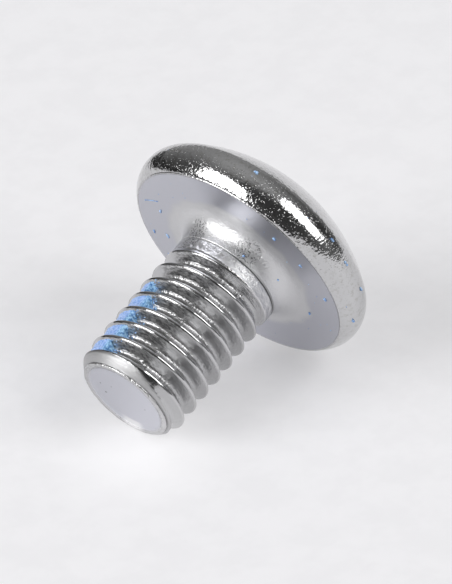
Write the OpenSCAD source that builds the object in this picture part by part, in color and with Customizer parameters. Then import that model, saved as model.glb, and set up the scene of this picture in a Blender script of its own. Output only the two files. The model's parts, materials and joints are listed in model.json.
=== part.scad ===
// Low domed machine screw with a rolled right-hand thread and a nylon locking patch,
// lying at rest on its head's rim and the thread crests next to its point.

/* [Thread] */
// Diameter over the thread crests
thread_d = 5.96; // [5.7:0.02:6.1]
// Distance along the axis from one crest to the next
pitch = 1; // [0.8:0.05:1.2]
// Radial depth of the thread groove
thread_depth = 0.61; // [0.4:0.01:0.7]
// Width of the narrow flat on each crest
crest_w = 0.11; // [0.06:0.01:0.2]
// Width of the rounded bottom of the groove
root_w = 0.18; // [0.1:0.01:0.24]
// Turn of the whole thread about the axis
thread_turn = 164; // [0:1:359]
// Distance from the bearing face to where the groove starts to deepen
runout_start = 1.6; // [1.3:0.05:2]
// Axial distance over which the groove fades in below the neck
runout_l = 0.9; // [0.5:0.1:2]
// Axial distance over which the groove fades out at the point
lead_l = 0.95; // [0.4:0.05:1.5]

/* [Shank] */
// Length from the bearing face to the flat end
length = 9.55; // [8:0.05:12]
// Diameter of the flat top of the lip around the end
end_lip_d = 4.9; // [4:0.1:5.2]
// Diameter at the foot of the lip, where the chamfer starts
lip_foot_d = 5.06; // [4.2:0.02:5.3]
// Height of the lip
lip_l = 0.13; // [0.05:0.01:0.25]
// Length from the first bevel of the thread crests to the end
chamfer_l = 0.6; // [0.4:0.05:1.2]
// Depth and flat diameter of the shallow dish in the end
dish_depth = 0.06; // [0.02:0.01:0.15]
dish_d = 4; // [3:0.1:4.4]
// Diameter of the plain neck below the head
neck_d = 5.8; // [5.6:0.02:6]
// Length of the neck, from the bearing face to the first trace of the thread
neck_l = 1.18; // [1:0.02:1.6]
// Radius of the fillet between the neck and the bearing face
fillet_r = 1.1; // [0.4:0.05:1.15]

/* [Head] */
// Largest diameter of the head
head_d = 13.5; // [12:0.1:15]
// Height of the head, from the bearing face to its flat top
head_h = 3.5; // [3.2:0.05:4]
// Radius of the rounded rim
rim_r = 1.3; // [1.1:0.05:1.6]
// Distance from the bearing face to the widest part of the rim
rim_drop = 1.05; // [0.8:0.05:1.08]
// Radius of the domed crown
crown_r = 9.4; // [9:0.1:13]
// Width taken off the edge between the bearing face and the rim
edge_w = 0.07; // [0.03:0.01:0.15]

/* [Drive socket] */
// Width of the six-lobed socket over opposite lobes
socket_lobe_d = 5.6; // [4.8:0.05:5.8]
// Width of the socket over opposite ribs
socket_rib_d = 3.99; // [3.6:0.05:4.1]
// Radius of each lobe's end
lobe_r = 0.451; // [0.4:0.01:0.5]
// Depth of the socket's straight walls
socket_depth = 2.1; // [1.5:0.05:2.4]
// Depth of the cone at the socket's floor
socket_floor_cone = 0.35; // [0.1:0.05:0.5]
// Width of the bevel around the socket's mouth
socket_bevel = 0.15; // [0.05:0.01:0.25]

/* [Locking patch] */
// Arc of the thread that the nylon covers, in degrees
patch_arc = 96; // [60:6:180]
// Direction of the patch's middle about the axis, from straight below
patch_middle = 240; // [200:6:300]
// Number of grooves that the nylon fills
patch_grooves = 5; // [1:1:6]
// Distance from the bearing face to the middle of the first filled groove
patch_first_groove = 4.6; // [3:0.1:5]
// Depth of the nylon's surface below the crests
patch_sink = 0.1; // [0.04:0.01:0.2]

/* [Hidden] */

// A cut or a buried end reaches this far past the face it belongs to
reach = 1;
crest_r = thread_d / 2;
neck_r = neck_d / 2;
end_r = end_lip_d / 2;
// The thread body leaves the neck this far inside its skin
body_sink = 0.02;
body_r = neck_r - body_sink;
// The groove's middle is deeper by this share, which rounds its bottom
root_sag = 0.05;
// The thread body's buried end rises to a tip on the axis
end_rise = 0.2;
// Height of the film edge where the nylon starts on a flank, as a share of the depth
flank_share = 0.2;
// Least thickness of the nylon over the flank
film_t = 0.03;
// Flat land around the cone at the socket's floor
floor_land = 0.1;
// Width of the lip's flat top
lip_w = 0.1;

rim_c = head_d / 2 - rim_r;
crown_c = sqrt(pow(crown_r - rim_r, 2) - pow(rim_c, 2)) - rim_drop;
top_flat_r = sqrt(pow(crown_r, 2) - pow(crown_c + head_h, 2));
// Radius of the corner between the bearing face and the rim, and how steeply the rim leaves it
corner_r = rim_c + sqrt(pow(rim_r, 2) - pow(rim_drop, 2));
corner_slope = acos(rim_drop / rim_r);

thread_start = thread_turn / 360 * pitch;

// The screw lies on a tangent of its rim that passes through the lowest crest next to the point
rest_crest = thread_start + pitch * floor((length - chamfer_l - thread_start) / pitch);
rest_span = sqrt(pow(rest_crest + rim_drop, 2) + pow(rim_c - crest_r, 2));
tilt = atan2(rim_c - crest_r, rest_crest + rim_drop) + asin(rim_r / rest_span);
lift = rim_c * cos(tilt) - rim_drop * sin(tilt) + rim_r;
point_x = length * cos(tilt) + end_r * sin(tilt);
crown_x = -head_h * cos(tilt) - top_flat_r * sin(tilt);

// Steps of the thread's mesh around one turn
steps = 60;
// Place of each row within a pitch, from the middle of a crest
groove_edge = 0.5 - root_w / pitch / 2;
crest_edge = crest_w / pitch / 2;
film_edge = crest_edge + flank_share * (groove_edge - crest_edge);
row_place = [-crest_edge, crest_edge, film_edge, groove_edge, 0.5, 1 - groove_edge, 1 - film_edge];
// Depth of each row as a share of the groove's depth
row_depth = [0, 0, flank_share, 1, 1 + root_sag, 1, flank_share];
rows = len(row_place);

// The thread body starts inside the neck and ends past the point
first_turn = -1;
turns = ceil((length - thread_start) / pitch + crest_edge) - first_turn;
// The groove starts to fade at this distance from the end
lead_gap = 0.8;
lead_start = length - lead_gap;

function smooth(t) =
    let (c = max(0, min(1, t)))
    c * c * (3 - 2 * c);

function fade_in(z) = smooth((z - runout_start) / runout_l);
function fade_out(z) = 1 - smooth((z - lead_start) / lead_l);

function row_turn(j) = floor(j / rows) + first_turn;
function row_in_turn(j) = j - floor(j / rows) * rows;
function row_z(i, j) = thread_start + pitch * (row_turn(j) + row_place[row_in_turn(j)] + i / steps);
function groove_z(i, j) = thread_start + pitch * (row_turn(j) + 0.5 + i / steps);

function row_r(i, j) =
    let (crest = body_r + (crest_r - body_r) * fade_in(row_z(i, j)),
         depth = thread_depth * fade_in(groove_z(i, j)) * fade_out(groove_z(i, j)))
    crest - row_depth[row_in_turn(j)] * depth;

function around(r, i, z) = [r * cos(360 * i / steps), r * sin(360 * i / steps), z];

function thread_point(i, j) = around(row_r(i, j), i, row_z(i, j));

// Skin of rows that climb with the helix, closed at each end by a fan from the axis
module thread_body() {
    last = turns * rows;
    function index(i, j) = i < steps ? j * steps + i : (j + rows) * steps;
    skin = [for (j = [0 : last]) for (i = [0 : steps - 1]) thread_point(i, j)];
    sides = [for (j = [0 : last - 1]) for (i = [0 : steps - 1])
        if (i < steps - 1 || j + 1 + rows <= last)
            each [[index(i, j), index(i, j + 1), index(i + 1, j + 1)],
                  [index(i, j), index(i + 1, j + 1), index(i + 1, j)]]];
    low_rim = concat([for (i = [0 : steps - 1]) index(i, 0)], [for (k = [rows : -1 : 1]) index(0, k)]);
    high_rim = concat([for (i = [0 : steps - 1]) index(i, last)],
                      [for (k = [1 : rows]) index(steps - 1, last - k)]);
    low_tip = len(skin);
    high_tip = low_tip + 1;
    tips = [[0, 0, row_z(0, 0) - end_rise], [0, 0, row_z(steps, last) + end_rise]];
    low_fan = [for (n = [0 : len(low_rim) - 1]) [low_tip, low_rim[n], low_rim[(n + 1) % len(low_rim)]]];
    high_fan = [for (n = [0 : len(high_rim) - 1]) [high_tip, high_rim[(n + 1) % len(high_rim)], high_rim[n]]];
    polyhedron(concat(skin, tips), concat(sides, low_fan, high_fan));
}

// Everything outside the chamfer and the lip, past the end and in its dish
module beyond_point() {
    foot_r = lip_foot_d / 2;
    slope = (crest_r - foot_r) / (chamfer_l - lip_l);
    rotate_extrude()
        polygon([[0, length - dish_depth], [dish_d / 2, length - dish_depth],
                 [end_r - lip_w, length], [end_r, length], [foot_r, length - lip_l],
                 [crest_r + slope * reach, length - chamfer_l - reach],
                 [crest_r + 2 * reach, length - chamfer_l - reach],
                 [crest_r + 2 * reach, length + 3 * reach], [0, length + 3 * reach]]);
}

// Half section of the head: rounded rim, domed crown with a flat top, broken bearing edge
module head_section() {
    rim = [rim_c, -rim_drop];
    crown_way = (rim - [0, crown_c]) / norm(rim - [0, crown_c]);
    bevel_start = [corner_r - edge_w / 2, 0];
    bevel_end = bevel_start + reach * [cos(corner_slope / 2), -sin(corner_slope / 2)];
    difference() {
        intersection() {
            translate(rim) circle(rim_r);
            translate([rim_c, -2 * rim_r]) square([2 * rim_r, 2 * rim_r]);
        }
        polygon([bevel_start, bevel_end, bevel_end + [0, reach], bevel_start + [0, reach]]);
    }
    intersection() {
        translate([0, crown_c]) circle(crown_r);
        polygon([[0, 0], [rim_c, 0], rim, rim + 2 * rim_r * crown_way,
                 [rim_c, -head_h], [0, -head_h]]);
    }
}

// Half section of the neck and the hollow fillet that joins it to the bearing face
module neck_section() {
    translate([0, -reach]) square([neck_r, neck_l + reach]);
    difference() {
        translate([neck_r - reach, -reach]) square([fillet_r + reach, fillet_r + reach]);
        translate([neck_r + fillet_r, fillet_r]) circle(fillet_r);
    }
}

// Six-lobed hole: arms out to the lobes, trimmed by the ribs between them
module socket_outline() {
    lobe_c = socket_lobe_d / 2 - lobe_r;
    rib_half = socket_rib_d / 2;
    rib_r = (pow(rib_half, 2) + pow(lobe_c, 2) - 2 * rib_half * lobe_c * cos(30) - pow(lobe_r, 2))
        / (2 * (lobe_r - rib_half + lobe_c * cos(30)));
    rib_c = rib_half + rib_r;
    difference() {
        polygon([for (n = [0 : 11]) (n % 2 == 0 ? lobe_c : rib_c) * [cos(30 * n), sin(30 * n)]]);
        for (n = [0 : 5]) rotate(60 * n + 30) translate([rib_c, 0]) circle(rib_r);
    }
    for (n = [0 : 5]) rotate(60 * n) translate([lobe_c, 0]) circle(lobe_r);
}

module drive_socket() {
    translate([0, 0, -head_h - reach]) linear_extrude(socket_depth + reach) socket_outline();
    translate([0, 0, -head_h + socket_depth - socket_floor_cone])
        cylinder(h = 2 * socket_floor_cone, r1 = socket_rib_d / 2 - floor_land, r2 = 0);
    translate([0, 0, -head_h - socket_bevel])
        cylinder(h = 3 * socket_bevel, r1 = socket_lobe_d / 2 + 2 * socket_bevel,
                 r2 = socket_lobe_d / 2 - socket_bevel);
}

// Turns and lifts a part drawn along the axis, head at zero and point up, onto the floor
module lying() {
    translate([-(point_x + crown_x) / 2, 0, lift]) rotate([0, 90 + tilt, 0]) children();
}

module screw() {
    color("#c3c7cd") lying() {
        difference() {
            rotate_extrude() head_section();
            drive_socket();
        }
        rotate_extrude() neck_section();
        difference() {
            thread_body();
            beyond_point();
        }
    }
}

// Nylon in one groove: its inner skin is the thread's own skin, its outer skin lies below the crests
module groove_filling(first_row, first_step, last_step) {
    film_rows = 5;
    columns = last_step - first_step + 1;
    function inner_r(a, b) = row_r(first_step + a, first_row + b);
    function outer_r(a, b) = max(inner_r(a, b) + film_t, crest_r - patch_sink);
    function place(r, a, b) = around(r, first_step + a, row_z(first_step + a, first_row + b));
    inner = [for (b = [0 : film_rows - 1]) for (a = [0 : columns - 1]) place(inner_r(a, b), a, b)];
    outer = [for (b = [0 : film_rows - 1]) for (a = [0 : columns - 1]) place(outer_r(a, b), a, b)];
    skin = len(inner);
    function in(a, b) = b * columns + a;
    function out(a, b) = skin + in(a, b);
    faces_out = [for (b = [0 : film_rows - 2]) for (a = [0 : columns - 2])
        each [[out(a, b), out(a, b + 1), out(a + 1, b + 1)], [out(a, b), out(a + 1, b + 1), out(a + 1, b)]]];
    faces_in = [for (b = [0 : film_rows - 2]) for (a = [0 : columns - 2])
        each [[in(a, b), in(a + 1, b + 1), in(a, b + 1)], [in(a, b), in(a + 1, b), in(a + 1, b + 1)]]];
    top = film_rows - 1;
    side = columns - 1;
    low_wall = [for (a = [0 : columns - 2])
        each [[in(a, 0), out(a, 0), out(a + 1, 0)], [in(a, 0), out(a + 1, 0), in(a + 1, 0)]]];
    high_wall = [for (a = [0 : columns - 2])
        each [[in(a, top), out(a + 1, top), out(a, top)], [in(a, top), in(a + 1, top), out(a + 1, top)]]];
    first_wall = [for (b = [0 : film_rows - 2])
        each [[in(0, b), out(0, b + 1), out(0, b)], [in(0, b), in(0, b + 1), out(0, b + 1)]]];
    last_wall = [for (b = [0 : film_rows - 2])
        each [[in(side, b), out(side, b), out(side, b + 1)], [in(side, b), out(side, b + 1), in(side, b + 1)]]];
    polyhedron(concat(inner, outer), concat(faces_out, faces_in, low_wall, high_wall, first_wall, last_wall));
}

module locking_patch() {
    first_step = round((patch_middle - patch_arc / 2) / 360 * steps);
    last_step = round((patch_middle + patch_arc / 2) / 360 * steps);
    first_fill = round((patch_first_groove - groove_z((first_step + last_step) / 2, 0)) / pitch);
    film_row = 2;
    color("#8fb0ee") lying() difference() {
        for (n = [0 : patch_grooves - 1])
            groove_filling((first_fill + n) * rows + film_row, first_step, last_step);
        beyond_point();
    }
}

$fn = 96;
screw();
locking_patch();
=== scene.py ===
import json
import math

import bmesh
import bpy
import numpy as np
from mathutils import Matrix, Vector, noise


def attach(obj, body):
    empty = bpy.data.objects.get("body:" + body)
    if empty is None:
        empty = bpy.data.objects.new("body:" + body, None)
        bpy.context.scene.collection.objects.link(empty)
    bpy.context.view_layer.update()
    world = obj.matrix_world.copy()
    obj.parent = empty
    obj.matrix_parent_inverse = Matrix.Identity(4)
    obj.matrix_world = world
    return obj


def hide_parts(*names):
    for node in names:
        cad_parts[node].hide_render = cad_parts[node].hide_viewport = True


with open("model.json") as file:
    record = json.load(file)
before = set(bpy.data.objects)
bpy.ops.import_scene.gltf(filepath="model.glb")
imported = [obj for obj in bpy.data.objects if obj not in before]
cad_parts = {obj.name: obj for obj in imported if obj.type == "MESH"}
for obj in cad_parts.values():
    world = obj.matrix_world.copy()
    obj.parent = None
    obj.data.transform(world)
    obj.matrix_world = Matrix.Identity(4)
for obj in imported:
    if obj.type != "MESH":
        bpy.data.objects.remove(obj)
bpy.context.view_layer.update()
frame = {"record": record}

MM = 0.001
FULL_TURN = 2 * math.pi

# Sizes in millimetres. s runs along the axis from the bearing face to the point, r across it.
# Turns about the axis are counted from straight below.
PITCH = 1.0
CREST_R = 2.98
THREAD_DEPTH = 0.61
CREST_HALF = 0.055
GROOVE_HALF = 0.41
ROOT_FROM = 0.33
THREAD_START = 164 / 360
RUNOUT_START = 1.6
RUNOUT_L = 0.9
LEAD_START = 8.75
LEAD_L = 0.95
LAST_CREST_S = 8.98

# The point: a rounded chamfer that is longest at one turn, and a lumpy lip round a dished end
LENGTH = 9.55
CHAMFER_L = 0.66
CHAMFER_SKEW = 0.1
SKEW_TURN = 250
CHAMFER_ROUND = 1.5
LIP_L = 0.13
LIP_FOOT_R = 2.53
LIP_R = 2.45
LIP_DROP = 0.012
LIP_BURR = 0.03
DISH_R = 2.0
DISH_DEPTH = 0.1
DISH_BURR = 0.022

# The neck, with its rolled ring and the crease above it, and the fillet under the head
RING_R = 2.88
RING_BULGE = 0.02
NECK_R = 2.9
NECK_L = 1.18
CREASE_S = 1.13
CREASE_DEPTH = 0.05
CREASE_HALF = 0.03
FILLET_R = 1.1

# The head and its six-lobed socket
RIM_R = 1.3
RIM_C = 5.45
RIM_DROP = 1.05
CROWN_R = 9.4
HEAD_H = 3.5
SOCKET_LOBE_R = 2.8
SOCKET_RIB_R = 1.995
LOBE_END_R = 0.451
SOCKET_DEPTH = 2.1
SOCKET_CONE = 0.35
SOCKET_BEVEL = 0.15

# Turns in degrees where the nylon starts in each groove and where it ends, and its first groove in pitches
PATCH_STARTS = (211, 196.5, 202, 197, 199)
PATCH_END = 292
PATCH_GROOVE = 3.5
PATCH_FILM = 0.03
PATCH_SINK = 0.11

# Small pits in the end, as turn in degrees, r and size
END_PITS = ((280.6, 1.342, 0.07), (254.4, 1.516, 0.05), (236.0, 0.9, 0.04), (80.0, 1.2, 0.04))

# Clusters of pits by the neck, and the middle of the painted highlight on the dish's wall, as turn in
# degrees, r and s
PIT_CLUSTERS = ((205, 2.98, 0.7), (144, 3.07, 0.5), (206, 2.9, 1.4))
PAINTED_HIGHLIGHT_PLACE = (356, 2.05, LENGTH)

# The larger grains that lie on the head, as s, r and turn in degrees
LYING_GRAINS = ((0.842, 2.931, 146.0), (0.0, 5.0, 138.4), (0.0, 5.15, 117.0), (0.4, 3.15, 104.8),
                (0.0, 5.54, 91.7), (0.0, 4.39, 65.5), (-0.49, 6.62, 76.5), (-1.4, 6.7, 90.8),
                (-1.29, 6.73, 108.3), (-1.46, 6.68, 119.8), (-1.53, 6.66, 163.6), (0.0, 5.62, 276.6),
                (0.0, 4.79, 250.8), (0.0, 4.69, 275.6))

# Points around the screw, and the weights that its material reads at each point
COLUMNS = 280
TURNS = np.arange(COLUMNS) * FULL_TURN / COLUMNS
ZONES = ("satin", "polish", "fillet", "flank", "root", "worn", "chamfer", "socket")

# The stage, in metres: the floor's lift towards white, a painted pool of light on it by the screw's end, and
# the height of the dark cards
FLOOR_HALF = 0.6
FLOOR_LIFT = 0.37
PAINTED_CAUSTIC_LIFT = 0.38
PAINTED_CAUSTIC_PLACE = (0.0068, 0.0014, 0)
PAINTED_CAUSTIC_REACH = 0.006
CARD_HIGH = 0.011

# The room's light, and its lobes as azimuth, elevation, the cosine where each fades in, and its gain
ROOM_LEVEL = 0.15
ROOM_LOBES = ((-145, 45, 0.2, 0.17), (170, 72, 0.6, 0.1), (35, 32, 0.55, -0.1), (-82, 18, 0.75, -0.08),
              (160, 35, 0.75, -0.17))

# Camera, fitted to the outlines of the head and the shank: parts along the axis, down and across
LENS_MM = 310.04
SENSOR_MM = 36
CAMERA_PLACE = (100.315, -188.017, 130.71)
CAMERA_LOOK = (-0.3957, 0.7551, -0.5227)
CAMERA_LEVEL = (-0.5864, 0.2302, 0.7766)

# The screw's own axes, from the record: the origin is the middle of the bearing face
mounts = {m["name"]: m for m in frame["record"]["mounts"]}
origin = np.array(mounts["bearing_face"]["pos_m"]) / MM
axis = np.array(mounts["bearing_face"]["axis"])
across = np.array([0.0, 1.0, 0.0])
down = np.cross(across, axis)


def place(s, r, turn):
    """Points in millimetres at s along the axis and r across it, turned from straight below."""
    s, r, turn = np.broadcast_arrays(s, r, turn)
    ray = np.cos(turn)[..., None] * down + np.sin(turn)[..., None] * across
    return origin + s[..., None] * axis + r[..., None] * ray


def smooth(t):
    """A smooth step from 0 at 0 to 1 at 1."""
    t = np.clip(t, 0, 1)
    return t * t * (3 - 2 * t)


def soft_ramp(x, low, high):
    """0 below 0 and 1 above 1, with corners that are sharper for a larger low and high."""
    return np.logaddexp(0, low * x) / low - np.logaddexp(0, high * (x - 1)) / high


def ripple(s, turn, along, stretch, seed):
    """Noise from -1 to 1 that closes around the screw, finer for a larger along (the axis) or stretch."""
    s, turn = np.broadcast_arrays(s, turn)
    shift = Vector((seed * 17.3, seed * 5.1, seed * 9.7))
    rows = np.stack([stretch * np.cos(turn), stretch * np.sin(turn), along * s], axis=-1).reshape(-1, 3)
    values = np.fromiter((noise.noise(Vector(row) + shift) for row in rows), float, len(rows))
    return values.reshape(s.shape)


def phase(s, turn):
    """Distance from the nearest crest, and the middle of the groove there, both along the axis."""
    climb = (s - THREAD_START) / PITCH - turn / FULL_TURN
    gap = np.abs(climb - np.round(climb)) * PITCH
    groove = s + (np.floor(climb) + 0.5 - climb) * PITCH
    return gap, groove


def groove_share(groove):
    """How much of its full depth a groove has: it runs out under the neck and fades at the point."""
    return smooth((groove - RUNOUT_START) / RUNOUT_L) * (1 - smooth((groove - LEAD_START) / LEAD_L))


def patch_s(number, turn):
    """Where the middle of this groove of the patch is along the axis."""
    return THREAD_START + PITCH * (PATCH_GROOVE + number + turn / FULL_TURN)


def thread_r(s, turn):
    """Radius of the threaded shank before the chamfer."""
    gap, groove = phase(s, turn)
    share = soft_ramp((gap - CREST_HALF) / (GROOVE_HALF - CREST_HALF), 26, 16)
    crest = RING_R + (CREST_R - RING_R) * smooth((s - RUNOUT_START) / RUNOUT_L)
    crest = crest + RING_BULGE * (1 - smooth((s - NECK_L) / 0.5))
    worn = 0.006 * ripple(s, turn, 1.7, 3.5, 3) + (0.004 + 0.012 * share) * ripple(s, turn, 3.0, 14.0, 4)
    pressed = 0.02 * (1 - smooth((s - 1.7) / 0.2)) * ripple(s, turn, 4.5, 9.0, 13)
    return crest - THREAD_DEPTH * groove_share(groove) * share + worn + pressed


def point_r(s, turn):
    """Radius of the lopsided, rounded chamfer, and of the foot of the lip beyond it."""
    foot = LENGTH - LIP_L
    length = CHAMFER_L - LIP_L + CHAMFER_SKEW * np.cos(turn - math.radians(SKEW_TURN))
    share = (foot - s) / length
    rounded = 1 - (1 - np.clip(share, 0, 1)) ** CHAMFER_ROUND + np.maximum(share - 1, 0)
    return LIP_FOOT_R + (CREST_R - LIP_FOOT_R) * rounded - 0.2 * np.maximum(s - foot, 0)


def shank_r(s, turn):
    """Thread trimmed by the chamfer, with a soft edge where they meet."""
    sharp = 45
    return -np.logaddexp(-sharp * thread_r(s, turn), -sharp * point_r(s, turn)) / sharp


def shank_zones(s, turn):
    """Weights of flank, root, neck ring and chamfer on the shank."""
    gap, groove = phase(s, turn)
    spare = point_r(s, turn) - thread_r(s, turn)
    cut = groove_share(groove) * smooth(spare / 0.06)
    root = smooth((gap - ROOT_FROM) / 0.07)
    flank = smooth((gap - CREST_HALF) / 0.03) * (1 - root)
    ring = 1 - smooth((s - 1.75) / 0.15)
    tip = 1 - smooth((spare + 0.02) / 0.06)
    level = (point_r(s, turn) - LIP_FOOT_R) / (CREST_R - LIP_FOOT_R)
    low = tip * (1 - smooth((level - 0.82) / 0.15))
    return {"flank": flank * cut, "root": root * cut, "fillet": ring, "chamfer": low,
            "worn": 0.4 * (tip - low)}


class Skin:
    """A closed skin of rows of points around the screw's axis."""

    def __init__(self):
        self.places = []
        self.values = []
        self.faces = []
        self.count = 0

    def add(self, s, r, turn, zones):
        """Adds points and returns their numbers. zones are the weights that the material reads."""
        s, r, turn = np.broadcast_arrays(np.asarray(s, float), np.asarray(r, float), turn)
        weights = [np.broadcast_to(zones.get(name, 0.0), s.shape) for name in ZONES]
        self.places.append(place(s, r, turn))
        self.values.append(np.stack([s, r, turn, *weights], axis=-1))
        self.count += s.size
        return np.arange(self.count - s.size, self.count)

    def ring(self, s, r, **zones):
        """A closed row at the same s all round."""
        numbers = self.add(np.broadcast_to(s, COLUMNS), r, TURNS, zones)
        return np.append(numbers, numbers[0])

    def pole(self, s, **zones):
        """A row that is a single point on the axis."""
        return np.repeat(self.add(np.array([s]), 0.0, 0.0, zones), COLUMNS + 1)

    def join(self, rows):
        """Faces between neighbouring rows, leaving out what has no area."""
        for low, high in zip(rows[:-1], rows[1:]):
            for corners in zip(low[:-1], high[:-1], high[1:], low[1:]):
                kept = list(dict.fromkeys(int(number) for number in corners))
                if len(kept) > 2:
                    self.faces.append(kept)

    def build(self, name):
        """The finished object, with the attributes that its material reads."""
        values = np.concatenate(self.values)
        obj = mesh_object(name, np.concatenate(self.places) * MM, self.faces)
        write_places(obj.data, values[:, 0], values[:, 1], values[:, 2])
        for zone, column in zip(ZONES, values[:, 3:].T):
            write_weight(obj.data, zone, column)
        return obj


def mesh_object(name, points, faces):
    """An object of these points in metres, shaded smooth."""
    mesh = bpy.data.meshes.new(name)
    mesh.from_pydata(points.tolist(), [], faces)
    mesh.validate()
    mesh.shade_smooth()
    obj = bpy.data.objects.new(name, mesh)
    bpy.context.scene.collection.objects.link(obj)
    return obj


def write_weight(mesh, name, values):
    """An attribute of one number a point."""
    layer = mesh.attributes.new(name, "FLOAT", "POINT")
    layer.data.foreach_set("value", np.asarray(values, np.float32))


def write_places(mesh, s, r, turn):
    """Attributes in millimetres: the place in the screw's own axes, and one that runs round it."""
    own_place = np.stack([r * np.cos(turn), r * np.sin(turn), s], axis=-1)
    round_place = np.stack([np.cos(turn), np.sin(turn), s], axis=-1)
    for name, data in (("place_mm", own_place), ("round_mm", round_place)):
        layer = mesh.attributes.new(name, "FLOAT_VECTOR", "POINT")
        layer.data.foreach_set("vector", data.astype(np.float32).ravel())


def lobe_outline(turn):
    """Radius of the six-lobed socket: rounded lobes with hollow ribs between them."""
    sixth = math.radians(60)
    lobe_c = SOCKET_LOBE_R - LOBE_END_R
    cosine = math.cos(sixth / 2)
    square = SOCKET_RIB_R ** 2 + lobe_c ** 2 - 2 * SOCKET_RIB_R * lobe_c * cosine - LOBE_END_R ** 2
    rib_r = square / (2 * (LOBE_END_R - SOCKET_RIB_R + lobe_c * cosine))
    rib_c = SOCKET_RIB_R + rib_r
    off = np.abs(turn - np.round(turn / sixth) * sixth)
    lobe = lobe_c * np.cos(off) + np.sqrt(np.maximum(LOBE_END_R ** 2 - (lobe_c * np.sin(off)) ** 2, 0))
    past = sixth / 2 - off
    rib = rib_c * np.cos(past) - np.sqrt(np.maximum(rib_r ** 2 - (rib_c * np.sin(past)) ** 2, 0))
    share = LOBE_END_R / (LOBE_END_R + rib_r)
    meet = math.atan2(share * rib_c * math.sin(sixth / 2), lobe_c + share * (rib_c * cosine - lobe_c))
    return np.where(off < meet, lobe, rib)


def arc(centre, radius, start, end, count):
    """(s, r) points of an arc, from one angle to another in degrees, measured from +r towards +s."""
    angles = np.radians(np.linspace(start, end, count))
    return [(centre[0] + radius * math.sin(t), centre[1] + radius * math.cos(t)) for t in angles]


def end_rows(skin):
    """The dished end and the lumpy lip around it."""
    rows = [skin.pole(LENGTH - DISH_DEPTH, satin=1.0)]
    top_r = LIP_R - 0.1
    for r in (0.5, 1.0, 1.4, 1.7, 1.8, 1.9, 2.0, 2.06, 2.12, 2.18, 2.24, 2.3, top_r, 2.39, 2.42):
        rise = smooth((r - DISH_R) / (top_r - DISH_R))
        lumps = ripple(0.0, TURNS, 1.0, 9.0 + 6 * r, 8)
        burr = rise * (DISH_BURR * lumps + DISH_BURR * ripple(r, TURNS, 6.0, 16.0, 14))
        worn = smooth((r - 2.1) / 0.2)
        level = LENGTH - DISH_DEPTH * (1 - rise) + burr - LIP_DROP * rise
        rows.append(skin.ring(level, r, satin=1 - worn, worn=worn))
    for back, r in ((0.006, 2.445), (0.02, 2.47), (0.04, 2.49), (0.07, 2.5), (0.1, 2.5), (0.115, 2.495)):
        burr = LIP_BURR * ripple(back * 4, TURNS, 1.0, 24.0, 9)
        rows.append(skin.ring(LENGTH - LIP_DROP - back, r + burr, worn=1.0))
    return rows


def shank_rows(skin):
    """The shank, whose rows climb with the thread between two plain rings, by the neck and by the lip."""
    low_s, high_s = NECK_L + 0.01, LENGTH - 0.125
    places = np.array([0.0, 0.025, 0.05, 0.072, 0.1, 0.15, 0.21, 0.27, 0.33, 0.37, 0.41, 0.45])
    within = np.concatenate([-places[:0:-1], places, [0.5]]) * PITCH
    last_ring = skin.ring(high_s, shank_r(high_s, TURNS), **shank_zones(high_s, TURNS))
    first_ring = skin.ring(low_s, shank_r(low_s, TURNS), **shank_zones(low_s, TURNS))
    rows = []
    for climb in (turn + step for turn in range(-2, int(high_s) + 2) for step in within):
        s = THREAD_START + PITCH * (climb + TURNS / FULL_TURN)
        row = np.where(s <= low_s, first_ring[:-1], last_ring[:-1])
        inside = (s > low_s) & (s < high_s)
        if inside.any():
            zones = shank_zones(s[inside], TURNS[inside])
            row[inside] = skin.add(s[inside], shank_r(s[inside], TURNS[inside]), TURNS[inside], zones)
        rows.append(row)
    wrapped = [np.append(row, above[0]) for row, above in zip(rows, rows[len(within):])]
    return [last_ring, *reversed(wrapped), first_ring]


def head_rows(skin):
    """Neck, fillet, bearing face, rim and crown."""
    rows = []
    for s in np.linspace(NECK_L, CREASE_S - 0.1, 13):
        shoulder = (RING_R + RING_BULGE - NECK_R) * smooth((s - CREASE_S) / (NECK_L - CREASE_S))
        crease = CREASE_DEPTH * math.exp(-((s - CREASE_S) / CREASE_HALF) ** 2)
        rows.append(skin.ring(s, NECK_R + shoulder - crease, fillet=1.0))
    for s, r in arc((FILLET_R, NECK_R + FILLET_R), FILLET_R, 185, 270, 22):
        rows.append(skin.ring(s, r, fillet=1.0))
    corner_r = RIM_C + math.sqrt(RIM_R ** 2 - RIM_DROP ** 2)
    corner = math.degrees(math.asin(RIM_DROP / RIM_R))
    for r in np.linspace(NECK_R + FILLET_R + 0.1, corner_r - 0.1, 12):
        blend = 1 - smooth((r - NECK_R - FILLET_R) / 0.5 + 0.4 * ripple(0.0, TURNS, 1.0, 5.0, 12))
        rows.append(skin.ring(0.0, r, satin=1 - blend, fillet=blend))
    wave = 0.008 * ripple(0.0, TURNS, 1.0, 22.0, 5)
    rows.append(skin.ring(0.0, corner_r - 0.05 + wave, satin=0.4, worn=0.6))
    rows.append(skin.ring(-0.004, corner_r - 0.028 + wave, worn=1.0))
    rows.append(skin.ring(-0.014, corner_r - 0.01 + wave, worn=1.0))
    crown_c = math.sqrt((CROWN_R - RIM_R) ** 2 - RIM_C ** 2) - RIM_DROP
    tangent = math.degrees(math.atan2(-RIM_DROP - crown_c, RIM_C))
    for s, r in arc((-RIM_DROP, RIM_C), RIM_R, corner - 2, tangent, 38):
        dent = 0.004 * ripple(s, TURNS, 2.0, 13.0, 6)
        rows.append(skin.ring(s, r + dent, polish=1.0))
    top_r = math.sqrt(CROWN_R ** 2 - (crown_c + HEAD_H) ** 2)
    top = math.degrees(math.atan2(-HEAD_H - crown_c, top_r))
    for s, r in arc((crown_c, 0.0), CROWN_R, tangent, top, 12)[1:]:
        rows.append(skin.ring(s, r, polish=1.0))
    for r in np.linspace(top_r - 0.1, SOCKET_LOBE_R + SOCKET_BEVEL, 5):
        rows.append(skin.ring(-HEAD_H, r, polish=1.0))
    return rows


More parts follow.
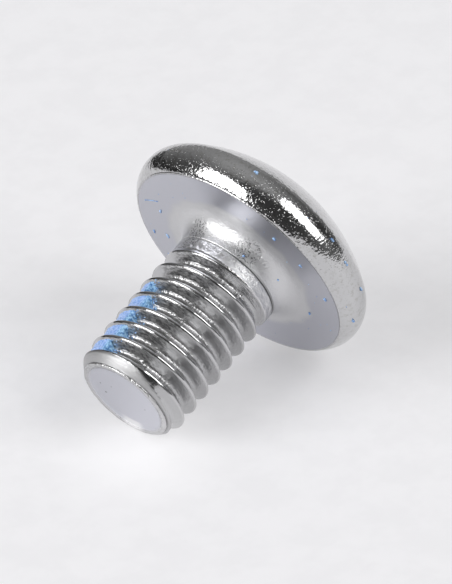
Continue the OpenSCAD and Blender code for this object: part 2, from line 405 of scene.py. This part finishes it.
def socket_rows(skin):
    """The six-lobed socket, from its bevelled mouth to the cone in its floor."""
    outline = lobe_outline(TURNS)
    rows = []
    for depth in (0.04, 0.1, 0.17, 0.24, 0.3):
        mouth = SOCKET_LOBE_R + SOCKET_BEVEL - depth
        rows.append(skin.ring(depth - HEAD_H, np.maximum(outline, mouth), socket=1.0))
    for depth in np.linspace(0.31, SOCKET_DEPTH, 10):
        rows.append(skin.ring(depth - HEAD_H, outline, socket=1.0))
    for share in (0.95, 0.85, 0.6, 0.4, 0.2):
        s = SOCKET_DEPTH - HEAD_H + SOCKET_CONE * smooth((0.85 - share) / 0.85)
        rows.append(skin.ring(s, outline * share, socket=1.0))
    rows.append(skin.pole(SOCKET_DEPTH - HEAD_H + SOCKET_CONE, socket=1.0))
    return rows


def make_screw():
    """The whole screw as one closed skin, from the point over the thread and the head into the socket."""
    skin = Skin()
    skin.join(end_rows(skin) + shank_rows(skin) + head_rows(skin) + socket_rows(skin))
    return skin.build("screw_body")


def make_patch():
    """Nylon in five grooves: a closed skin over and under each filling, ragged where it ends."""
    half = 0.45
    offsets = np.linspace(-half, half, 33)
    degrees = np.arange(184.0, 298.0, 0.9)
    points, faces, values = [], [], []
    for number, start in enumerate(PATCH_STARTS):
        turn, offset = np.meshgrid(np.radians(degrees), offsets)
        s = patch_s(number, turn) + offset
        metal = shank_r(s, turn)
        lumps = ripple(s, turn, 5.0, 15.0, 11 + number)
        grit = ripple(s, turn, 13.0, 38.0, 21 + number)
        ragged = 3.5 * ripple(s, turn, 2.6, 9.0, 31 + number) + 3.0 * grit
        near = smooth((np.degrees(turn) + ragged - start) / 3.0)
        far = smooth((PATCH_END + ragged - np.degrees(turn)) / 3.0)
        cover = near * far * (1 - smooth((s - LENGTH + 0.85) / 0.15))
        loose = 1 - smooth((np.degrees(turn) - start - 2) / 9.0)
        hollow = 0.06 * (1 - (offset / half) ** 2)
        fill = CREST_R - PATCH_SINK - hollow + 0.02 * lumps + (0.012 + 0.03 * loose) * grit
        outer = metal - PATCH_FILM + (np.maximum(fill, metal - PATCH_FILM) - metal + PATCH_FILM) * cover
        first = sum(len(p) for p in points)
        for r in (outer, metal - 2 * PATCH_FILM):
            points.append(place(s, r, turn).reshape(-1, 3))
            values.append(np.stack([s.ravel(), r.ravel(), turn.ravel(), loose.ravel()], axis=-1))
        faces += slab_faces(len(offsets), len(degrees), first)
    values = np.concatenate(values)
    obj = mesh_object("nylon_patch", np.concatenate(points) * MM, faces)
    write_places(obj.data, values[:, 0], values[:, 1], values[:, 2])
    write_weight(obj.data, "loose", values[:, 3])
    return obj


def slab_faces(rows, columns, first):
    """Faces of two grids of points, one over the other, closed around their border."""
    under = first + rows * columns
    faces = []
    for b in range(rows - 1):
        for a in range(columns - 1):
            corner = b * columns + a
            quad = (corner, corner + 1, corner + columns + 1, corner + columns)
            faces.append([first + n for n in reversed(quad)])
            faces.append([under + n for n in quad])
    border = [*range(columns - 1), *range(columns - 1, rows * columns - 1, columns),
              *range(rows * columns - 1, (rows - 1) * columns, -1),
              *range((rows - 1) * columns, 0, -columns)]
    for a, b in zip(border, border[1:] + border[:1]):
        faces.append([first + a, first + b, under + b, under + a])
    return faces


def lean_of(s, r):
    """Angle of the head's surface normal from +r towards +s: the bearing face, its fillet or the rim."""
    if s < -0.01:
        return math.atan2(s + RIM_DROP, r - RIM_C)
    if r > NECK_R + FILLET_R:
        return math.pi / 2
    return math.atan2(FILLET_R - s, NECK_R + FILLET_R - r)


def grain_spots(random):
    """Stray grains as (s, r, turn, lean, size): by the ragged ends of the patch, then over the head."""
    spots = []
    for number, start in enumerate(PATCH_STARTS):
        for _ in range(34):
            turn = math.radians(start - abs(random.normal(0, 8.0)) + 3)
            s = patch_s(number, turn) + random.uniform(-0.4, 0.34)
            spots.append((s, float(shank_r(s, turn)), turn, 0.0, random.uniform(0.025, 0.065)))
    # A short fibre, as a string of small grains
    for step in np.linspace(0, 1, 14):
        r = 5.76 - 0.68 * step
        spots.append((0.0, r, math.radians(249.4 - 7.6 * step), lean_of(0.0, r), 0.034))
    for s, r, degrees in LYING_GRAINS:
        for _ in range(4):
            near = math.radians(degrees + random.normal(0, 0.7))
            spots.append((s, r + random.normal(0, 0.035), near, lean_of(s, r), random.uniform(0.045, 0.085)))
    for _ in range(60):
        turn = random.uniform(0, FULL_TURN)
        if random.random() < 0.5:
            s, r = 0.0, random.uniform(4.2, 6.0)
        else:
            lean = math.radians(random.uniform(-60, 45))
            s, r = RIM_R * math.sin(lean) - RIM_DROP, RIM_C + RIM_R * math.cos(lean)
        spots.append((s, r, turn, lean_of(s, r), random.uniform(0.015, 0.035)))
    return spots


def make_grains():
    """The stray grains as one object of lumpy, flattened balls, each laid on the metal under it."""
    random = np.random.default_rng(7)
    points, faces = [], []
    for s, r, turn, lean, size in grain_spots(random):
        lump = bmesh.new()
        bmesh.ops.create_icosphere(lump, subdivisions=2, radius=1.0)
        shape = np.array([v.co for v in lump.verts])
        bumps = [noise.noise(v.co * 1.7 + Vector((s * 9, turn * 9, r))) for v in lump.verts]
        shape *= 1 + 0.35 * np.array(bumps)[:, None]
        shape *= random.uniform((0.7, 0.7, 0.4), (1.3, 1.0, 0.7))
        ray = math.cos(turn) * down + math.sin(turn) * across
        out = math.cos(lean) * ray + math.sin(lean) * axis
        side = np.cross(out, axis if abs(lean) < 1 else ray)
        side /= np.linalg.norm(side)
        grain_axes = np.stack([side, np.cross(out, side), out])
        first = sum(len(p) for p in points)
        points.append(place(s, r, turn) + size * (shape @ grain_axes) + 0.2 * size * out)
        faces += [[first + v.index for v in f.verts] for f in lump.faces]
        lump.free()
    return mesh_object("nylon_grains", np.concatenate(points) * MM, faces)


class Nodes:
    """Adds nodes to a tree. A value given to an input is a number, a tuple or another node's output."""

    def __init__(self, tree):
        self.tree = tree

    def add(self, kind, settings=(), **inputs):
        """An input is named with _ for a space, or by its number as i0, i1."""
        node = self.tree.nodes.new(kind)
        for name, value in dict(settings).items():
            setattr(node, name, value)
        for name, value in inputs.items():
            numbered = name[0] == "i" and name[1:].isdigit()
            self.put(node.inputs[int(name[1:]) if numbered else name.replace("_", " ")], value)
        return node

    def put(self, socket, value):
        """Links another node's output to an input, or sets its value."""
        if isinstance(value, bpy.types.NodeSocket):
            self.tree.links.new(value, socket)
        else:
            socket.default_value = value

    def math(self, operation, a, b=0.0):
        return self.add("ShaderNodeMath", {"operation": operation}, i0=a, i1=b).outputs[0]

    def total(self, *values):
        result = values[0]
        for value in values[1:]:
            result = self.math("ADD", result, value)
        return result

    def times(self, *values):
        result = values[0]
        for value in values[1:]:
            result = self.math("MULTIPLY", result, value)
        return result

    def weighted(self, *pairs):
        """The sum of values, each times its weight."""
        return self.total(*(self.times(value, weight) for value, weight in pairs))

    def attribute(self, name, output="Fac"):
        return self.add("ShaderNodeAttribute", {"attribute_name": name}).outputs[output]

    def noise(self, vector, scale, detail=2.0, roughness=0.5):
        node = self.add("ShaderNodeTexNoise", Vector=vector, Scale=scale, Detail=detail, Roughness=roughness)
        return node.outputs["Fac"]

    def ramp(self, value, low, high, out_low=0.0, out_high=1.0):
        """A smooth step of value from low to high."""
        node = self.add("ShaderNodeMapRange", {"interpolation_type": "SMOOTHSTEP"}, Value=value,
                        From_Min=low, From_Max=high, To_Min=out_low, To_Max=out_high)
        return node.outputs[0]

    def vector(self, operation, a, b, output=0):
        return self.add("ShaderNodeVectorMath", {"operation": operation}, i0=a, i1=b).outputs[output]

    def scaled(self, vector, x, y, z):
        return self.vector("MULTIPLY", vector, (x, y, z))

    def dot(self, a, b):
        return self.vector("DOT_PRODUCT", a, b, "Value")

    def distance(self, a, b):
        return self.vector("DISTANCE", a, b, "Value")

    def bump(self, height_mm):
        """The surface's normal over relief of this height."""
        return self.add("ShaderNodeBump", Height=height_mm, Distance=MM, Strength=1.0).outputs[0]

    def mix(self, share, a, b):
        node = self.add("ShaderNodeMix", {"data_type": "RGBA"})
        colours = [socket for socket in node.inputs if socket.type == "RGBA"]
        self.put(node.inputs[0], share)
        self.put(colours[0], a)
        self.put(colours[1], b)
        return next(socket for socket in node.outputs if socket.type == "RGBA")


def new_material(name):
    """A material, its nodes and its shader."""
    material = bpy.data.materials.new(name)
    material.use_nodes = True
    return material, Nodes(material.node_tree), material.node_tree.nodes["Principled BSDF"]


def zinc_plate():
    """Bright plated steel: dimpled polish on the rim, satin on the flats, dull flanks and crumpled roots."""
    material, n, shader = new_material("zinc_plate")
    place_mm = n.attribute("place_mm", "Vector")
    round_mm = n.attribute("round_mm", "Vector")
    satin, polish, fillet, flank, root, worn, chamfer, socket = (n.attribute(zone) for zone in ZONES)

    along = n.add("ShaderNodeSeparateXYZ", Vector=round_mm).outputs["Z"]

    def beside(degrees, half_wide):
        """A weight that is 1 along this direction round the screw and fades out beside it."""
        way = (math.cos(math.radians(degrees)), math.sin(math.radians(degrees)), 0)
        edge = math.cos(math.radians(half_wide))
        return n.ramp(n.dot(round_mm, way), edge, math.cos(math.radians(half_wide / 3)))

    def away_from(turn, r, s):
        """Distance in millimetres from a place, whose turn is in degrees."""
        centre = (r * math.cos(math.radians(turn)), r * math.sin(math.radians(turn)), s)
        return n.distance(place_mm, centre)

    def at_level(s, half_wide):
        """A weight that is 1 at this place along the axis and fades out beside it."""
        return n.ramp(n.math("ABSOLUTE", n.total(along, -s)), half_wide, 0.3 * half_wide)

    # Relief, whose heights are in millimetres
    fine = n.noise(place_mm, 10.0, 3.0, 0.6)
    flecks = n.noise(place_mm, 6.5, 1.0)
    broad = n.noise(place_mm, 2.6, 1.0)
    drawn = n.noise(n.scaled(round_mm, 9.0, 9.0, 18.0), 1.0, 2.0)
    turned = n.noise(n.scaled(round_mm, 4.0, 4.0, 36.0), 1.0, 2.0)
    crumpled = n.noise(n.scaled(round_mm, 26.0, 26.0, 5.0), 1.0, 2.0)
    mottled = n.ramp(n.noise(n.scaled(round_mm, 10.0, 10.0, 22.0), 1.0, 3.0, 0.7), 0.38, 0.6)
    specks = n.ramp(n.noise(place_mm, 12.0, 1.0), 0.62, 0.78)
    grain = n.noise(place_mm, 11.0, 0.0)
    pits = n.ramp(n.noise(place_mm, 10.0, 2.0, 0.7), 0.47, 0.4)
    clusters = n.total(*(n.ramp(away_from(*spot), 0.85, 0.1) for spot in PIT_CLUSTERS))
    pitted = n.times(n.ramp(clusters, 0.0, 0.5), fillet, pits)
    on_ring = n.ramp(along, 1.14, 1.2)
    # Painted shade: the side round the screw where the flanks are painted dark, with rolling marks
    painted_dark_flank_side = beside(180, 48)
    height = n.weighted(
        (polish, n.weighted((flecks, 0.014), (broad, 0.016), (specks, 0.008), (fine, 0.004))),
        (root, n.weighted((crumpled, 0.04), (flecks, 0.03))),
        (flank, n.weighted((drawn, 0.024), (fine, 0.008))),
        (fillet, n.weighted((grain, 0.008), (fine, 0.03), (n.times(on_ring, crumpled), 0.026))),
        (pitted, -0.03),
        (worn, n.weighted((flecks, 0.045), (broad, 0.02), (fine, 0.025))),
        (chamfer, n.weighted((turned, 0.02), (fine, 0.02))),
        (satin, n.times(n.noise(place_mm, 18.0, 3.0), 0.0016)))
    n.put(shader.inputs["Normal"], n.bump(height))

    # Roughness of the bare crests, and what each zone adds to it
    crest_rough = 0.1
    extra = ((satin, 0.26), (polish, -0.04), (fillet, 0.29), (flank, 0.18), (root, 0.2), (worn, 0.05),
             (chamfer, 0.34), (socket, 0.2), (pitted, 0.15), (on_ring, n.times(fillet, -0.1)))
    n.put(shader.inputs["Roughness"], n.total(crest_rough, *(n.times(zone, more) for zone, more in extra)))
    n.put(shader.inputs["Metallic"], 1.0)

    # The tone of the plating in each zone, with painted shade, light and reflections on some sides
    # Painted dark reflections: the satin of the bearing face is darker on two sides round the screw
    painted_dark_reflections = n.total(n.times(beside(150, 45), 0.8), n.times(beside(35, 80), 0.5))
    painted_reflections_on_bearing_face = n.times(painted_dark_reflections, n.ramp(along, 1.0, 0.5))
    satin_with_painted_reflections = n.mix(painted_reflections_on_bearing_face, (0.605, 0.61, 0.66, 1), (0.45, 0.455, 0.5, 1))
    plate = n.mix(satin, (0.58, 0.58, 0.585, 1), satin_with_painted_reflections)
    plate = n.mix(chamfer, plate, (0.51, 0.51, 0.515, 1))
    plate = n.mix(fillet, plate, (0.69, 0.69, 0.7, 1))
    # Flanks and roots: rolling marks on the painted dark side, and painted lighter around turn 250
    rolled = n.mix(mottled, (0.2, 0.2, 0.205, 1), (0.6, 0.6, 0.605, 1))
    painted_light_flank_side = n.mix(beside(250, 45), (0.42, 0.42, 0.425, 1), (0.6, 0.6, 0.61, 1))
    flank_tone_with_painted_light = n.mix(painted_dark_flank_side, painted_light_flank_side, rolled)
    plate = n.mix(n.total(flank, n.times(root, 0.6)), plate, flank_tone_with_painted_light)

    # Grime on the rim and dark pits, then painted shade in the creases and a painted dark reflection on the
    # last crest
    grimy = n.times(polish, n.ramp(n.noise(place_mm, 4.0, 4.0, 0.7), 0.5, 0.66), 0.35)
    plate = n.mix(grimy, plate, (0.33, 0.32, 0.28, 1))
    plate = n.mix(n.times(pitted, 0.9), plate, (0.12, 0.12, 0.125, 1))
    # Painted shade in the crease by the neck, stronger on one side, and behind the lip on one side; a
    # painted dark reflection on the last crest near the point
    off_dish = n.total(0.5, n.times(satin, -0.5))
    painted_shade_and_dark_crest = n.total(n.times(at_level(CREASE_S, 0.04), 0.7),
                        n.times(at_level(LENGTH - LIP_L, 0.045), beside(105, 55), off_dish),
                        n.times(at_level(CREASE_S - 0.03, 0.12), beside(75, 60), 0.6),
                        n.times(at_level(LAST_CREST_S, 0.14), beside(205, 45), 0.65))
    plate = n.mix(painted_shade_and_dark_crest, plate, (0.1, 0.1, 0.1, 1))

    # A painted highlight on the wall of the dish, and the dark pits in it
    dish_wall = n.ramp(away_from(0, 0, LENGTH), 1.7, 1.9)
    painted_highlight = n.times(dish_wall, n.ramp(away_from(*PAINTED_HIGHLIGHT_PLACE), 0.8, 0.3), 0.8)
    plate = n.mix(painted_highlight, plate, (0.9, 0.9, 0.9, 1))
    for turn, r, size in END_PITS:
        away = away_from(turn, r, LENGTH - DISH_DEPTH)
        plate = n.mix(n.ramp(away, size, 0.4 * size), plate, (0.05, 0.045, 0.03, 1))
    n.put(shader.inputs["Base Color"], plate)
    return material


def nylon():
    """Fused nylon powder: light blue, with painted shade between its grains, and small glossy facets."""
    material, n, shader = new_material("nylon")
    place_mm = n.attribute("place_mm", "Vector")
    loose = n.attribute("loose")
    grain = n.noise(place_mm, 8.0, 3.0, 0.6)
    facets = n.noise(place_mm, 18.0, 2.0)
    height = n.weighted((grain, 0.02), (facets, n.total(0.008, n.times(loose, 0.02))))
    n.put(shader.inputs["Normal"], n.bump(height))
    # Painted shade: darker blue where the relief is low between the grains, darker still at the ragged ends
    body = n.mix(n.ramp(grain, 0.35, 0.6), (0.2, 0.38, 0.8, 1), (0.42, 0.58, 0.95, 1))
    open_ends_with_painted_shade = n.mix(n.ramp(grain, 0.35, 0.6), (0.07, 0.22, 0.5, 1), (0.4, 0.68, 0.95, 1))
    n.put(shader.inputs["Base Color"], n.mix(loose, body, open_ends_with_painted_shade))
    n.put(shader.inputs["Roughness"], n.ramp(facets, 0.35, 0.65, 0.15, 0.5))
    return material


def nylon_grain():
    """Loose grains of the same nylon, glossier and more mixed in tone."""
    material, n, shader = new_material("nylon_grain")
    place_m = n.add("ShaderNodeTexCoord").outputs["Object"]
    tone = n.ramp(n.noise(place_m, 7000.0, 2.0), 0.38, 0.58)
    n.put(shader.inputs["Base Color"], n.mix(tone, (0.12, 0.27, 0.6, 1), (0.45, 0.66, 0.95, 1)))
    n.put(shader.inputs["Roughness"], 0.2)
    return material


screw_body = make_screw()
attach(screw_body, "root")
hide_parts("screw")
screw_body.data.materials.append(zinc_plate())

nylon_patch = make_patch()
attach(nylon_patch, "root")
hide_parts("locking_patch")
nylon_patch.data.materials.append(nylon())

nylon_grains = make_grains()
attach(nylon_grains, "root")
nylon_grains.data.materials.append(nylon_grain())


def toward(azimuth, elevation):
    """Unit direction from the object, with azimuth from +X towards +Y, in degrees."""
    a, e = math.radians(azimuth), math.radians(elevation)
    return Vector((math.cos(e) * math.cos(a), math.cos(e) * math.sin(a), math.sin(e)))


def make_floor():
    """A pale floor, partly plain white to the camera and in the metal, with a painted pool of light by the
    screw's end.
    """
    corners = [(x * FLOOR_HALF, y * FLOOR_HALF, 0) for x, y in ((-1, -1), (1, -1), (1, 1), (-1, 1))]
    floor = mesh_object("floor", np.array(corners), [[0, 1, 2, 3]])
    material, n, shader = new_material("floor")
    place_m = n.add("ShaderNodeTexCoord").outputs["Object"]
    paper = n.ramp(n.noise(place_m, 450.0, 3.0, 0.6), 0.35, 0.65)
    n.put(shader.inputs["Base Color"], n.mix(paper, (0.875, 0.87, 0.895, 1), (0.92, 0.915, 0.94, 1)))
    n.put(shader.inputs["Roughness"], 0.6)
    white = n.add("ShaderNodeEmission", Color=(0.99, 0.985, 1, 1), Strength=1.0).outputs[0]
    rays = n.add("ShaderNodeLightPath").outputs
    seen = n.total(rays["Is Camera Ray"], rays["Is Glossy Ray"], rays["Is Transmission Ray"])
    # Painted pool of light where the screw's end would throw light onto the floor
    painted_caustic = n.ramp(n.distance(place_m, PAINTED_CAUSTIC_PLACE), PAINTED_CAUSTIC_REACH, 0.0, 0.0, PAINTED_CAUSTIC_LIFT)
    lift = n.times(seen, n.total(FLOOR_LIFT, painted_caustic))
    mixed = n.add("ShaderNodeMixShader", Fac=lift, i1=shader.outputs[0], i2=white).outputs[0]
    n.put(material.node_tree.nodes["Material Output"].inputs["Surface"], mixed)
    floor.data.materials.append(material)


def make_card(name, azimuth, away, half_wide):
    """A low dark card that stands on the floor outside the picture, for the metal to mirror."""
    half = np.array(toward(azimuth + 90, 0)) * half_wide
    foot = np.array(toward(azimuth, 0)) * away
    top = foot + np.array([0, 0, CARD_HIGH])
    corners = np.array([foot - half, foot + half, top + half, top - half])
    card = mesh_object(name, corners, [[0, 1, 2, 3]])
    card.visible_camera = False
    card.visible_shadow = False
    card.visible_diffuse = False
    material, n, shader = new_material(name)
    n.put(shader.inputs["Base Color"], (0.03, 0.03, 0.03, 1))
    n.put(shader.inputs["Roughness"], 0.9)
    card.data.materials.append(material)


make_floor()
make_card("dark_card_front", -31, 0.034, 0.1)
make_card("dark_card_left", -101, 0.043, 0.013)


def softbox(name, azimuth, elevation, half_wide, half_high, radiance, distance=1.0):
    """A soft box of light that spans twice these half angles, as bright as radiance."""
    light = bpy.data.lights.new(name, "AREA")
    light.shape = "RECTANGLE"
    light.size = 2 * distance * math.tan(math.radians(half_wide))
    light.size_y = 2 * distance * math.tan(math.radians(half_high))
    light.energy = radiance * math.pi * light.size * light.size_y
    lamp = bpy.data.objects.new(name, light)
    way = toward(azimuth, elevation)
    lamp.location = way * distance
    lamp.rotation_euler = way.to_track_quat("Z", "Y").to_euler()
    bpy.context.scene.collection.objects.link(lamp)


# Two soft boxes, one on each side of the camera, in a dim room
softbox("softbox_right", 104, 42, 18, 19.5, 3.8)
softbox("softbox_left", -24.5, 24, 18.5, 20, 6.2)


def dim_room():
    """A world like a dim room, a little lighter behind the object than in front of it."""
    world = bpy.data.worlds.new("room")
    world.use_nodes = True
    n = Nodes(world.node_tree)
    direction = n.add("ShaderNodeTexCoord").outputs["Generated"]

    def lobe(azimuth, elevation, low, gain):
        """Light that fades in around a direction, from this cosine of the angle to it."""
        return n.ramp(n.dot(direction, toward(azimuth, elevation)), low, 1.0, 0.0, gain)

    background = world.node_tree.nodes["Background"]
    n.put(background.inputs["Strength"], n.total(ROOM_LEVEL, *(lobe(*row) for row in ROOM_LOBES)))
    n.put(background.inputs["Color"], (1, 1, 1, 1))
    return world


bpy.context.scene.world = dim_room()


def make_camera():
    """The camera at the photograph's viewing angle."""
    screw_axes = np.stack([axis, down, across])
    look = np.array(CAMERA_LOOK) @ screw_axes
    level = np.array(CAMERA_LEVEL) @ screw_axes
    back = -look / np.linalg.norm(look)
    right = level - (level @ back) * back
    right /= np.linalg.norm(right)
    lens = bpy.data.cameras.new("camera")
    lens.sensor_fit = "AUTO"
    lens.sensor_width = SENSOR_MM
    lens.lens = LENS_MM
    lens.clip_start = 0.01
    camera = bpy.data.objects.new("camera", lens)
    turned = Matrix((right, np.cross(back, right), back)).transposed().to_4x4()
    camera.matrix_world = Matrix.Translation((origin + np.array(CAMERA_PLACE) @ screw_axes) * MM) @ turned
    bpy.context.scene.collection.objects.link(camera)
    return camera


bpy.context.scene.camera = make_camera()
bpy.context.scene.view_settings.view_transform = "Standard"
